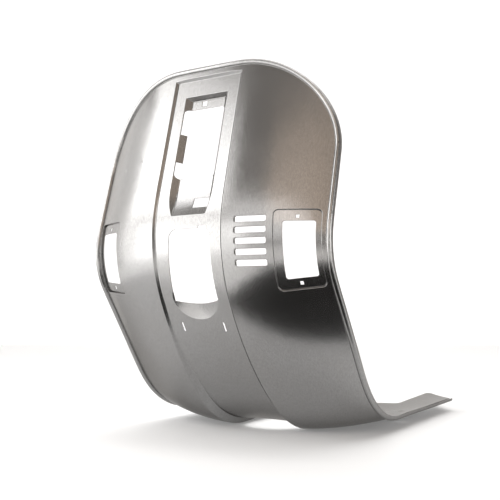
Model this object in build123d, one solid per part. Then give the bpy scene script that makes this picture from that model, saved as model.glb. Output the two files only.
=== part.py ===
"""Scooter leg shield with its two floor wings, pressed from one sheet of steel.

X runs across the shield, -Y is its front and Z is up. The origin lies on the ground, below the
middle of the part's box. The sheet is worked out as two skins, a front and a back, a sheet
thickness apart. Each pressed form is taken out of both bodies, grown by the thickness for the
back one, and the sheet is what lies between them.
"""
import os
from math import asin, atan2, cos, pi, radians, sin, sqrt, tan

from build123d import *

# Sheet
sheet_thickness = 1.2

# Side view of the channel's floor, from its top end down to the ground, in the middle of the part.
# Lengths are followed along the line, and angles are in degrees.
channel_top_y = 63.6
channel_top_z = 587.9
channel_lean = 14.8
channel_straight = 218.4
channel_knee_radius = 239.4
channel_knee_turn = 42.0
belly_radius = 532.6
belly_turn = 23.8
foot_radius = 230.0
floor_rise = 2.2

# Side view of the rim, through the middle of its bead
rim_half_width = 228.5
rim_mark_y = 74.0
rim_mark_z = 406.7
rim_lean = 15.7
rim_straight = 81.4
rim_knee_radius = 114.4
rim_knee_turn = 51.0
rim_run = 182.5
rim_foot_radius = 195.0

# Section across the shield: a flat middle, and a round wing on each side
flat_half_width = 42.0
wing_radius = 333.0

# Outline of the top, through the middle of the bead
corner_radius = 165.0
corner_height = 440.5

# Bead pressed round the edge, and the narrow flange left outside it
bead_half_width = 4.0
bead_height = 5.0
edge_flange = 0.6
crown_radius = 4.0

# Sunk channel down the middle, with walls at 45 degrees
channel_half_width = 63.5
channel_depth = 5.0
channel_foot_depth = 12.5
channel_corner_radius = 4.0
channel_top_slope = 35.0

# Floor, in plan, from the shield's foremost point
floor_rear = 600.0
tongue_half_inner = 141.0
tongue_rear = 797.0
tongue_tip_width = 10.0
tongue_corner_rear = 688.0
floor_corner_radius = 12.0
tunnel_half_width = 58.0
tunnel_front = 250.0
tunnel_corner_radius = 52.0
floor_bolt_x = 192.0
floor_bolt_y = 465.0
floor_bolt_diameter = 11.7
floor_room_height = 120.0

# Pocket in the channel, measured down the channel from its top end. Its floor rises from pocket_run on.
pocket_top = 31.0
pocket_run = 203.0
pocket_bottom = 258.0
pocket_floor_half = 33.0
pocket_depth = 9.3
pocket_corner_radius = 3.0
pocket_top_slope = 25.0
pocket_window_top = 52.0
pocket_window_bottom = 182.0
window_left = -42.0
window_right = 35.5
pocket_window_radius = 9.0
window_tab_top = 101.0
window_tab_bottom = 152.5
window_tab_depth = 8.5
key_hole_size = 10.0
key_hole_x = -8.0
key_hole_down = 42.0
clip_hole_width = 30.0
clip_hole_height = 17.5
clip_hole_x = 18.5
clip_hole_down = 228.5

# Lower window of the channel, and the spoon pressed below it
window_side = 43.5
window_foot_left = -41.5
window_head_left = -36.5
window_top_z = 322.5
window_bottom_z = 207.0
window_sag = 4.5
window_top_radius = 16.0
notch_left = 21.0
notch_right = 36.0
notch_height = 3.6
spoon_radius = 107.0
spoon_depth = 9.0
spoon_raise = 4.0

# Two slits for clips, below the spoon
slit_x = 40.5
slit_z = 164.0
slit_length = 14.0
slit_width = 3.4

# Turn-signal seats in the wings
seat_inner = 150.0
seat_outer = 218.5
seat_top_z = 345.0
seat_bottom_z = 218.5
seat_depth = 3.0
seat_corner_radius = 8.0
signal_slant = 6.5
signal_inner = 163.0
signal_outer = 209.5
signal_top_z = 326.8
signal_bottom_z = 237.5
signal_corner_radius = 4.0
signal_screw_x = 184.0
signal_screw_size = 5.0
signal_screw_spacing = 101.4
signal_screw_middle_z = 283.1

# Horn louvres, on one wing only
louvre_inner = 88.5
louvre_length = 51.5
louvre_height = 10.0
louvre_corner_radius = 3.0
louvre_pitch = 17.1
louvre_count = 5
louvre_top_z = 332.0
louvre_collar = 5.0

# Small trim holes in the other wing, as (x, z)
trim_holes = [(-117.0, 450.0), (-165.5, 440.0)]
trim_hole_diameter = 4.0

# Where the channel deepens towards the foot and eases again, counted in stretches of its side view
deepening_start = 2.0
deepening_length = 1.25
easing_start = 3.75
easing_length = 0.75

# How the skins are built: rows of points per stretch, columns across, and room outside the outline
rows_per_stretch = 4
columns = 29
skin_margin = 20.0
channel_overrun = 60.0
rim_overrun = 235.0
body_depth = 40.0
wall_reach = 20.0
end_block = 200.0
reach = 1000.0


def walk(start, lean, stretches):
    """Points of a side-view line as (y, z, heading). A stretch is (radius, turn) or (None, length)."""
    y, z = start
    heading = radians(-lean)
    points = [(y, z, heading)]
    for radius, size in stretches:
        for step in range(1, rows_per_stretch + 1):
            share = step / rows_per_stretch
            if radius is None:
                points.append((y + size * share * sin(heading), z - size * share * cos(heading), heading))
                continue
            middle_y = y + radius * cos(heading)
            middle_z = z + radius * sin(heading)
            turned = heading + radians(size) * share
            points.append((middle_y - radius * cos(turned), middle_z - radius * sin(turned), turned))
        y, z, heading = points[-1]
    return points


def channel_line(extra):
    """The channel's floor in side view, lengthened at both ends by extra."""
    lean = radians(channel_lean)
    start = (channel_top_y + extra * sin(lean), channel_top_z + extra * cos(lean))
    foot_turn = 90 + channel_lean - channel_knee_turn - belly_turn + floor_rise
    return walk(start, channel_lean, [
        (None, channel_straight + extra),
        (channel_knee_radius, channel_knee_turn),
        (belly_radius, belly_turn),
        (foot_radius, foot_turn),
        (None, tongue_rear - tunnel_front),
    ])


def rim_line(extra):
    """The middle of the bead in side view, lengthened at the top by extra."""
    lean = radians(rim_lean)
    start = (rim_mark_y + extra * sin(lean), rim_mark_z + extra * cos(lean))
    foot_turn = 90 + rim_lean - rim_knee_turn
    return walk(start, rim_lean, [
        (None, rim_straight + extra),
        (rim_knee_radius, rim_knee_turn),
        (None, rim_run),
        (rim_foot_radius, foot_turn),
        (None, tongue_rear - tunnel_front),
    ])


def sweep_share(x):
    """How far the section has swept back from the middle to the rim, at a distance x from the middle."""
    beside = max(abs(x) - flat_half_width, 0.0)
    at_rim = rim_half_width - flat_half_width
    return (wing_radius - sqrt(wing_radius**2 - beside**2)) / (wing_radius - sqrt(wing_radius**2 - at_rim**2))


channel_points = channel_line(channel_overrun)
rim_points = rim_line(rim_overrun)


def ease(share):
    """A share from 0 to 1, with soft ends."""
    kept = min(max(share, 0.0), 1.0)
    return kept**2 * (3 - 2 * kept)


def depth_at(row):
    """The channel's depth at a row: it deepens along the belly and eases again along the floor."""
    stretch = row / rows_per_stretch
    deepened = ease((stretch - deepening_start) / deepening_length)
    eased = ease((stretch - easing_start) / easing_length)
    foot_share = deepened - eased
    return channel_depth + (channel_foot_depth - channel_depth) * foot_share


def skin_point(row, x):
    """A point of the front skin, before anything is pressed into it."""
    y, z, heading = channel_points[row]
    middle_y = y - depth_at(row) * cos(heading)
    middle_z = z - depth_at(row) * sin(heading)
    share = sweep_share(x)
    rim_y, rim_z = rim_points[row][:2]
    return Vector(x, middle_y + (rim_y - middle_y) * share, middle_z + (rim_z - middle_z) * share)


def skin(depth, margin):
    """The front skin, moved back by depth."""
    half = rim_half_width + margin
    across = [-half + 2 * half * i / (columns - 1) for i in range(columns)]
    rows = len(channel_points)
    grid = [[skin_point(row, x) for x in across] for row in range(rows)]
    moved = []
    for i in range(rows):
        line = []
        for j in range(columns):
            along = grid[min(i + 1, rows - 1)][j] - grid[max(i - 1, 0)][j]
            aside = grid[i][min(j + 1, columns - 1)] - grid[i][max(j - 1, 0)]
            line.append(grid[i][j] - along.cross(aside).normalized() * depth)
        moved.append(line)
    return Face.make_surface_from_array_of_points(moved, tol=0.05, smoothing=(1, 1, 1), max_deg=5)


def slab(near, far, margin=skin_margin):
    """The body behind the front skin from one depth to about another, pushed straight back and up."""
    return Solid.extrude(skin(near, margin), Vector(0, far - near, far - near))


def front_prism(sketch):
    """A sketch of the front view, in X and Z, made a bar along Y."""
    return extrude(Plane.XZ * sketch, amount=reach, both=True)


def signal_outline(inner, outer, bottom, top, radius):
    """A round-cornered outline of the front view, whose lower edge climbs outwards."""
    outer_bottom = bottom + (outer - inner) * tan(radians(signal_slant))
    sketch = Polygon((inner, bottom), (outer, outer_bottom), (outer, top), (inner, top), align=None)
    return fillet(sketch.vertices(), radius)


def edge_of(points, x):
    """Lines and arcs through a side-view line at a distance x from the middle."""
    edges = []
    for first in range(0, len(points) - 1, rows_per_stretch):
        middle = first + rows_per_stretch // 2
        last = first + rows_per_stretch
        ends = [Vector(x, points[i][0], points[i][1]) for i in (first, middle, last)]
        if points[first][2] == points[last][2]:
            edges.append(Edge.make_line(ends[0], ends[2]))
        else:
            edges.append(Edge.make_three_point_arc(*ends))
    return edges


lean = radians(channel_lean)
channel_down = Vector(0, -sin(lean), -cos(lean))
channel_forward = Vector(0, -cos(lean), sin(lean))
channel_top = Vector(0, channel_top_y, channel_top_z)


def on_channel(x, down):
    """A place on the channel's straight stretch, with its own Y up the channel and Z out of it."""
    origin = channel_top + channel_down * down + Vector(x, 0, 0)
    return Plane(origin=origin, x_dir=(1, 0, 0), z_dir=channel_forward)


def trough(path, start, floor_half, corner, top, top_slope, grow):
    """A flat floor with walls at 45 degrees, swept along a side-view path, with a sloping top end."""
    half = floor_half + grow * (sqrt(2) - 1)
    mouth_half = half + wall_reach + grow
    floor_ends = [(-half, -grow), (half, -grow)]
    mouth_ends = [(mouth_half, wall_reach), (-mouth_half, wall_reach)]
    section = Polygon(*floor_ends, *mouth_ends, align=None)
    section = fillet(section.vertices().group_by(Axis.Y)[0], corner + grow)
    swept = sweep(start * section, path=path)
    slope = radians(top_slope)
    above = (-channel_down * cos(slope) - channel_forward * sin(slope)).normalized()
    over_top = Plane(origin=top + above * grow, x_dir=(1, 0, 0), z_dir=above)
    block = Box(end_block, end_block, end_block, align=(Align.CENTER, Align.CENTER, Align.MIN))
    return swept - over_top * block


def channel(grow):
    """The sunk channel, which runs from its top end down and under to the rear of the floor."""
    path = Wire(edge_of(channel_points, 0.0))
    start = Plane(origin=path @ 0, x_dir=(1, 0, 0), z_dir=channel_down)
    top = (channel_top, channel_top_slope)
    return trough(path, start, channel_half_width, channel_corner_radius, *top, grow)


def pocket(grow):
    """The pocket in the channel, whose floor rises on an arc and runs out at the lower end."""
    rise = pocket_bottom - pocket_run
    radius = (rise**2 + pocket_depth**2) / (2 * pocket_depth)
    turn = atan2(2 * rise, radius)

    def along(down, depth):
        return channel_top + channel_down * down - channel_forward * depth

    middle = along(pocket_run + radius * sin(turn / 2), pocket_depth - radius * (1 - cos(turn / 2)))
    end = along(pocket_run + radius * sin(turn), pocket_depth - radius * (1 - cos(turn)))
    begin = along(pocket_top - 2 * wall_reach, pocket_depth)
    run_end = along(pocket_run, pocket_depth)
    path = Wire([Edge.make_line(begin, run_end), Edge.make_three_point_arc(run_end, middle, end)])
    start = Plane(origin=begin, x_dir=(1, 0, 0), z_dir=channel_down)
    foot = along(pocket_top + pocket_depth * tan(radians(pocket_top_slope)), pocket_depth)
    return trough(path, start, pocket_floor_half, pocket_corner_radius, foot, pocket_top_slope, grow)


def outline(outwards):
    """The shield's outline in the front view, moved outwards from the middle of the bead."""
    half = rim_half_width + outwards
    top = corner_height + corner_radius + outwards
    sketch = Polygon((-half, -reach), (half, -reach), (half, top), (-half, top), align=None)
    return fillet(sketch.vertices().group_by(Axis.Y)[-1], corner_radius + outwards)


def bead_band(grow):
    """The raised bead round the edge, still square."""
    ring = outline(bead_half_width + edge_flange - grow) - outline(grow - bead_half_width)
    return slab(grow - bead_height, body_depth / 2 + grow) & front_prism(ring)


def outwards(point):
    """How far a point lies outside the middle of the bead, in the front view."""
    beside = max(abs(point.X) - rim_half_width + corner_radius, 0.0)
    above = max(point.Z - corner_height, 0.0)
    return sqrt(beside**2 + above**2) - corner_radius


def crown_edges(band, side):
    """The edges along the bead's crown, on its inner side (-1) or its outer one (1)."""
    skins = band.faces().filter_by(GeomType.BSPLINE).sort_by(SortBy.AREA)[-2:]
    crown = skins.sort_by(Axis((0, 0, 0), (0, 1, 1)))[0]
    return [edge for edge in crown.edges() if side * outwards(edge @ 0.5) > bead_half_width / 2]


def bead():
    """The bead as it shows at the front, with a round crown."""
    band = bead_band(0)
    return fillet(crown_edges(band, -1) + crown_edges(band, 1), crown_radius)


def bead_hollow():
    """The hollow behind the bead, its corners chamfered about as deep as a round crown would go."""
    radius = crown_radius - sheet_thickness
    rim_sweep = asin((rim_half_width - flat_half_width) / wing_radius)
    band = bead_band(sheet_thickness)
    for side, corner in ((1, pi / 2 + radians(rim_lean)), (-1, pi / 2 - rim_sweep)):
        depth = radius * (1 / sin(corner / 2) - 1)
        band = chamfer(crown_edges(band, side), depth / cos(corner / 2))
    return band


def pocket_cuts():
    """The window in the pocket's floor, with a tab left in one side, and two square holes near it."""
    middle = on_channel((window_left + window_right) / 2, (pocket_window_top + pocket_window_bottom) / 2)
    width = window_right - window_left
    window = RectangleRounded(width, pocket_window_bottom - pocket_window_top, pocket_window_radius)
    tab = Rectangle(2 * window_tab_depth, window_tab_bottom - window_tab_top)
    tab_lift = (pocket_window_top + pocket_window_bottom - window_tab_top - window_tab_bottom) / 2
    window = window - Pos(-width / 2, tab_lift) * tab
    key_hole = on_channel(key_hole_x, key_hole_down) * Rectangle(key_hole_size, key_hole_size)
    clip_hole = on_channel(clip_hole_x, clip_hole_down) * Rectangle(clip_hole_width, clip_hole_height)
    sketches = [middle * window, key_hole, clip_hole]
    return [extrude(sketch, amount=body_depth, both=True) for sketch in sketches]


def channel_row_at(z):
    """The place and heading of the channel's floor in side view at a height z."""
    line = channel_line(0.0)
    nearest = min(range(len(line)), key=lambda i: abs(line[i][1] - z))
    other = nearest + 1 if line[nearest][1] > z else nearest - 1
    share = (z - line[nearest][1]) / (line[other][1] - line[nearest][1])
    return [a + (b - a) * share for a, b in zip(line[nearest], line[other])]


def spoon(grow):
    """The round hollow pressed into the channel below its lower window."""
    y, z, heading = channel_row_at(window_bottom_z + spoon_raise)
    away = spoon_radius - spoon_depth
    return Pos(0, y - away * cos(heading), z - away * sin(heading)) * Sphere(spoon_radius + grow)


def window_cuts():
    """The channel's lower window, with a sagging foot and a notch in its head, and the two clip slits."""
    foot_left = (window_foot_left, window_bottom_z)
    foot_right = (window_side, window_bottom_z)
    head_right = (window_side, window_top_z)
    head_left = (window_head_left, window_top_z)
    window = make_face([
        ThreePointArc(foot_left, (0, window_bottom_z - window_sag), foot_right),
        Line(foot_right, head_right),
        Line(head_right, head_left),
        Line(head_left, foot_left),
    ])
    window = fillet(window.vertices().group_by(Axis.Y)[-1], window_top_radius)
    notch_lift = Pos((notch_left + notch_right) / 2, window_top_z)
    window = window + notch_lift * Rectangle(notch_right - notch_left, 2 * notch_height)
    slit = Rectangle(slit_width, slit_length)
    return front_prism(window + Pos(slit_x, slit_z) * slit + Pos(-slit_x, slit_z) * slit)


def pressed(sketch, depth):
    """Bars of the front view that end at a depth behind the front skin."""
    bars = front_prism(sketch) - slab(depth, 4 * body_depth, 2 * skin_margin)
    return [bar for bar in bars.solids() if bar.center().Y < 0]


def seats(grow):
    """The sunk seats of the two turn signals."""
    sides = (seat_inner - grow, seat_outer + grow)
    ends = (seat_bottom_z - grow, seat_top_z + grow)
    seat = signal_outline(*sides, *ends, seat_corner_radius + grow)
    return pressed(seat + mirror(seat, Plane.YZ), seat_depth + grow)


def signal_cuts():
    """The openings of the turn signals, each with a square screw hole above and below it."""
    cut = signal_outline(signal_inner, signal_outer, signal_bottom_z, signal_top_z, signal_corner_radius)
    for lift in (-signal_screw_spacing / 2, signal_screw_spacing / 2):
        screw = Rectangle(signal_screw_size, signal_screw_size)
        cut = cut + Pos(signal_screw_x, signal_screw_middle_z + lift) * screw
    return front_prism(cut) + front_prism(mirror(cut, Plane.YZ))


def louvre_sketch(grow):
    """The row of horn louvres in the front view."""
    slot = RectangleRounded(louvre_length + 2 * grow, louvre_height + 2 * grow, louvre_corner_radius + grow)
    middle = louvre_inner + louvre_length / 2
    row = Pos(middle, louvre_top_z) * slot
    for i in range(1, louvre_count):
        row = row + Pos(middle, louvre_top_z - i * louvre_pitch) * slot
    return row


def floor_cuts():
    """What is cut from the floor in plan: the tunnel, all behind the two tongues, and the bolt holes."""
    far = 2 * tongue_rear
    half = rim_half_width + 2 * skin_margin
    waste = Polygon(
        (0, floor_rear), (tongue_half_inner, floor_rear), (tongue_half_inner, tongue_rear),
        (tongue_half_inner + tongue_tip_width, tongue_rear), (rim_half_width, tongue_corner_rear),
        (half, tongue_corner_rear), (half, far), (0, far), align=None
    )
    corners = [v for v in waste.vertices() if v.Y < tongue_rear and 0 < v.X < half]
    waste = fillet(corners, floor_corner_radius)
    waste = waste + Pos(floor_bolt_x, floor_bolt_y) * Circle(floor_bolt_diameter / 2)
    tunnel = RectangleRounded(2 * tunnel_half_width, far, tunnel_corner_radius)
    tunnel = Pos(0, tunnel_front + far / 2) * tunnel
    plan = Plane.XY.offset(-floor_room_height / 2) * (waste + mirror(waste, Plane.YZ) + tunnel)
    return extrude(plan, amount=floor_room_height)


def trim_cuts():
    """The small trim holes in one wing."""
    return front_prism(Sketch() + [Pos(x, z) * Circle(trim_hole_diameter / 2) for x, z in trim_holes])


def pressings(grow):
    """All that is pressed into the skin."""
    return [channel(grow), pocket(grow), spoon(grow)] + seats(grow)


shield_outline = front_prism(outline(bead_half_width + edge_flange))
front = slab(0, body_depth) - pressings(0)
front = front + bead()
front = front & shield_outline

collars = pressed(louvre_sketch(sheet_thickness), louvre_collar)
back = slab(sheet_thickness, body_depth + skin_margin, 2 * skin_margin)
back = back - (pressings(sheet_thickness) + collars)
back = back + bead_hollow()

sheet = front - back
openings = [window_cuts(), signal_cuts(), floor_cuts(), trim_cuts(), front_prism(louvre_sketch(0))]
sheet = sheet - (pocket_cuts() + openings)

box = sheet.bounding_box()
sheet = Pos(0, -(box.min.Y + box.max.Y) / 2, -box.min.Z) * sheet
os.makedirs("parts", exist_ok=True)
export_step(sheet, "parts/leg_shield.step")
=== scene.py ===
from math import cos, radians, sin

import bpy
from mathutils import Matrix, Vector

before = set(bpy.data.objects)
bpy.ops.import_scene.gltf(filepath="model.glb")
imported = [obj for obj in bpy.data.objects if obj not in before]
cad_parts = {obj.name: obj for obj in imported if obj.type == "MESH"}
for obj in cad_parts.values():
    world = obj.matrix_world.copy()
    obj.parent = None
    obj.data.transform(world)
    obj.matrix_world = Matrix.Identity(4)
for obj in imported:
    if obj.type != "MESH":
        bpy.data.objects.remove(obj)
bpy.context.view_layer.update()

# The leg shield: one pressing of bare, cold-rolled steel sheet, from the beaded top edge down to the two
# floor wings that are bolted to the scooter's frame. The CAD node has its whole shape, down to the holes,
# so only the finish is made here.
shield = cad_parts["leg_shield"]
steel = bpy.data.materials.new("bare_cold_rolled_steel")
steel.use_nodes = True
tree = steel.node_tree


def linear(code):
    """An sRGB hex colour as linear red, green, blue and alpha."""
    shares = [int(code[i:i + 2], 16) / 255 for i in (1, 3, 5)]
    return [c / 12.92 if c <= 0.04045 else ((c + 0.055) / 1.055) ** 2.4 for c in shares] + [1.0]


def node(kind, inputs, **settings):
    """Adds a node to the steel with its settings, and links or sets its inputs by name or number."""
    new = tree.nodes.new(kind)
    for name, value in settings.items():
        setattr(new, name, value)
    for socket, value in inputs.items():
        if isinstance(value, bpy.types.NodeSocket):
            tree.links.new(value, new.inputs[socket])
        else:
            new.inputs[socket].default_value = value
    return new


# Steel reflects a little less at a glancing angle than a mirror does, which keeps the floor wings grey.
shader = tree.nodes["Principled BSDF"]
shader.inputs["Metallic"].default_value = 1.0
shader.inputs["Specular Tint"].default_value = linear("#b2b0ae")
place = node("ShaderNodeTexCoord", {}).outputs["Object"]

# A faint brown bloom in patches 120 mm across, as bare sheet gets from hands and damp: it shifts the
# grey slightly and dulls the gloss with it.
bloom = node("ShaderNodeTexNoise", {"Vector": place, "Scale": 1 / 0.12, "Detail": 4.0, "Roughness": 0.55})
patch = bloom.outputs["Fac"]
first_colour, second_colour, mixed_colour = 6, 7, 2
tint = node(
    "ShaderNodeMix",
    {"Factor": patch, first_colour: linear("#b4b4b4"), second_colour: linear("#adaba9")},
    data_type="RGBA",
)
gloss = node(
    "ShaderNodeMapRange", {"Value": patch, "From Min": 0.3, "From Max": 0.7, "To Min": 0.21, "To Max": 0.26}
)

# The grain of the mill's rolls, upright streaks that give the grey its fine speckle. Real ones are about
# 0.1 mm wide: they are drawn 1.2 mm wide here, so that they show in the render.
stretched = node("ShaderNodeMapping", {"Vector": place, "Scale": (1.0, 0.25, 0.25)})
grain = node(
    "ShaderNodeTexNoise", {"Vector": stretched.outputs["Vector"], "Scale": 1 / 0.0012, "Detail": 2.0}
)
streak = grain.outputs["Fac"]
shade = node(
    "ShaderNodeMapRange", {"Value": streak, "From Min": 0.3, "From Max": 0.7, "To Min": 0.9, "To Max": 1.06}
)
colour = node(
    "ShaderNodeVectorMath",
    {"Vector": tint.outputs[mixed_colour], "Scale": shade.outputs["Result"]},
    operation="SCALE",
)

# A pinprick chip, 2 mm across and dark, in the bead at each side of the top, where the edge was knocked.
for chip in ((-0.1195, -0.3277, 0.611), (0.2305, -0.3139, 0.480)):
    apart = node("ShaderNodeVectorMath", {0: place, 1: chip}, operation="DISTANCE")
    fade = node(
        "ShaderNodeMapRange",
        {"Value": apart.outputs["Value"], "From Min": 0.0007, "From Max": 0.0013, "To Min": 0.15},
    )
    colour = node(
        "ShaderNodeVectorMath",
        {"Vector": colour.outputs["Vector"], "Scale": fade.outputs["Result"]},
        operation="SCALE",
    )

# The sheared edges have lost their sharpness over 0.9 mm, so every hole and rim catches a thin light.
worn = node("ShaderNodeBevel", {"Radius": 0.0009}, samples=8)
bump = node(
    "ShaderNodeBump",
    {"Height": streak, "Strength": 0.1, "Distance": 0.0004, "Normal": worn.outputs["Normal"]},
)
tree.links.new(colour.outputs["Vector"], shader.inputs["Base Color"])
tree.links.new(gloss.outputs["Result"], shader.inputs["Roughness"])
tree.links.new(bump.outputs["Normal"], shader.inputs["Normal"])
shield.data.materials.clear()
shield.data.materials.append(steel)

# The studio: white paper lies square to the camera under the shield and hangs as a wall behind it. On the
# paper, a grey card lies under the shield and a dark one to the right of its front. They show only in the
# steel. The dark card is a painted reflection of shade, a dark band under the right seat. The grey card
# glows faintly, a painted light that gives a duller belly but lifts the shade under the shield.
turn = radians(30.2)
ahead = Vector((-sin(turn), cos(turn), 0.0))
aside = Vector((cos(turn), sin(turn), 0.0))
for name, right, away, up, tilt, width, depth, base, glow, seen in (
    ("paper_floor", 0.0, 0.0, 0.0, 0.0, 12.0, 12.0, "#f2f2f2", 0.08, True),
    ("paper_wall", 0.0, 4.0, 0.0, radians(90), 12.0, 12.0, "#f2f2f2", 0.35, True),
    # Both cards are painted reflections: the dark one a painted shade, the grey one a faint painted glow.
    ("dark_card", 0.185, -0.74, 0.001, 0.0, 1.13, 0.62, "#0c0b0a", 0.0, False),
    ("grey_card", -0.2, -0.02, 0.0005, 0.0, 1.9, 0.95, "#acacac", 0.26, False),
):
    spot = aside * right + ahead * away + Vector((0.0, 0.0, up))
    bpy.ops.object.select_all(action="DESELECT")
    bpy.ops.mesh.primitive_plane_add(size=1.0, location=spot, rotation=(tilt, 0.0, turn))
    sheet = bpy.context.object
    sheet.name = name
    sheet.scale = (width, depth, 1.0)
    surface = bpy.data.materials.new("matt_" + name)
    surface.use_nodes = True
    matt = surface.node_tree.nodes["Principled BSDF"]
    matt.inputs["Base Color"].default_value = linear(base)
    matt.inputs["Roughness"].default_value = 0.9
    matt.inputs["Emission Color"].default_value = linear("#ffffff")
    matt.inputs["Emission Strength"].default_value = glow
    sheet.data.materials.append(surface)
    sheet.visible_camera = seen
    sheet.visible_diffuse = seen
    sheet.visible_shadow = seen

# The light: a tall window and three soft boxes to the left of the shield, weaker ones in front of it and to
# its right, a dim warm wall above those, and two wide soft boxes overhead that keep the paper white. The
# rest of the room is a dim grey.
bpy.context.scene.world = bpy.data.worlds.new("studio_air")
bpy.context.scene.world.use_nodes = True
air = bpy.context.scene.world.node_tree.nodes["Background"]
air.inputs["Color"].default_value = linear("#918c87")
air.inputs["Strength"].default_value = 0.8
for name, spot, aim, width, height, power, tone in (
    ("window_left", (-1.7, -1.75, 0.95), (0.0, -0.35, 0.5), 1.7, 2.1, 17.0, "#ffffff"),
    ("softbox_left", (-2.0, -0.3, 0.85), (0.0, -0.35, 0.4), 2.0, 1.5, 10.0, "#ffffff"),
    ("softbox_front_left", (-1.45, -2.5, 0.5), (0.0, -0.3, 0.35), 2.4, 1.0, 11.5, "#ffffff"),
    ("softbox_upper_left", (-1.8, -1.8, 1.9), (0.0, -0.3, 0.5), 2.2, 1.2, 15.0, "#ffffff"),
    ("softbox_right", (2.2, -0.3, 0.6), (0.1, -0.2, 0.3), 1.6, 1.0, 9.2, "#ffffff"),
    ("softbox_front", (0.4, -2.9, 1.1), (0.1, -0.3, 0.4), 2.8, 1.6, 14.0, "#ffffff"),
    ("warm_wall", (1.3, -2.3, 1.65), (0.1, -0.3, 0.45), 2.0, 1.4, 5.6, "#ead0b8"),
    ("softbox_overhead", (0.0, -0.4, 3.2), (0.0, -0.4, 0.0), 3.0, 3.0, 32.0, "#ffffff"),
    ("softbox_backdrop", (-1.0, 1.9, 4.2), (-1.0, 2.3, 0.0), 9.0, 5.0, 150.0, "#ffffff"),
):
    lamp = bpy.data.lights.new(name, "AREA")
    lamp.shape = "RECTANGLE"
    lamp.size = width
    lamp.size_y = height
    lamp.energy = power
    lamp.color = linear(tone)[:3]
    holder = bpy.data.objects.new(name, lamp)
    bpy.context.scene.collection.objects.link(holder)
    holder.location = spot
    holder.rotation_euler = (Vector(aim) - Vector(spot)).to_track_quat("-Z", "Y").to_euler()

# The camera stands low and to the right of the shield's front, where the photograph was taken from.
# Plain colours are kept as they are, so that white paper stays white.
lens = bpy.data.cameras.new("camera")
lens.lens = 54.72
lens.sensor_width = 36.0
camera = bpy.data.objects.new("camera", lens)
bpy.context.scene.collection.objects.link(camera)
camera.location = (0.7014, -1.3995, 0.2065)
camera.rotation_euler = Vector((-0.501, 0.861, 0.0874)).to_track_quat("-Z", "Y").to_euler()
bpy.context.scene.camera = camera
bpy.context.scene.view_settings.view_transform = "Standard"
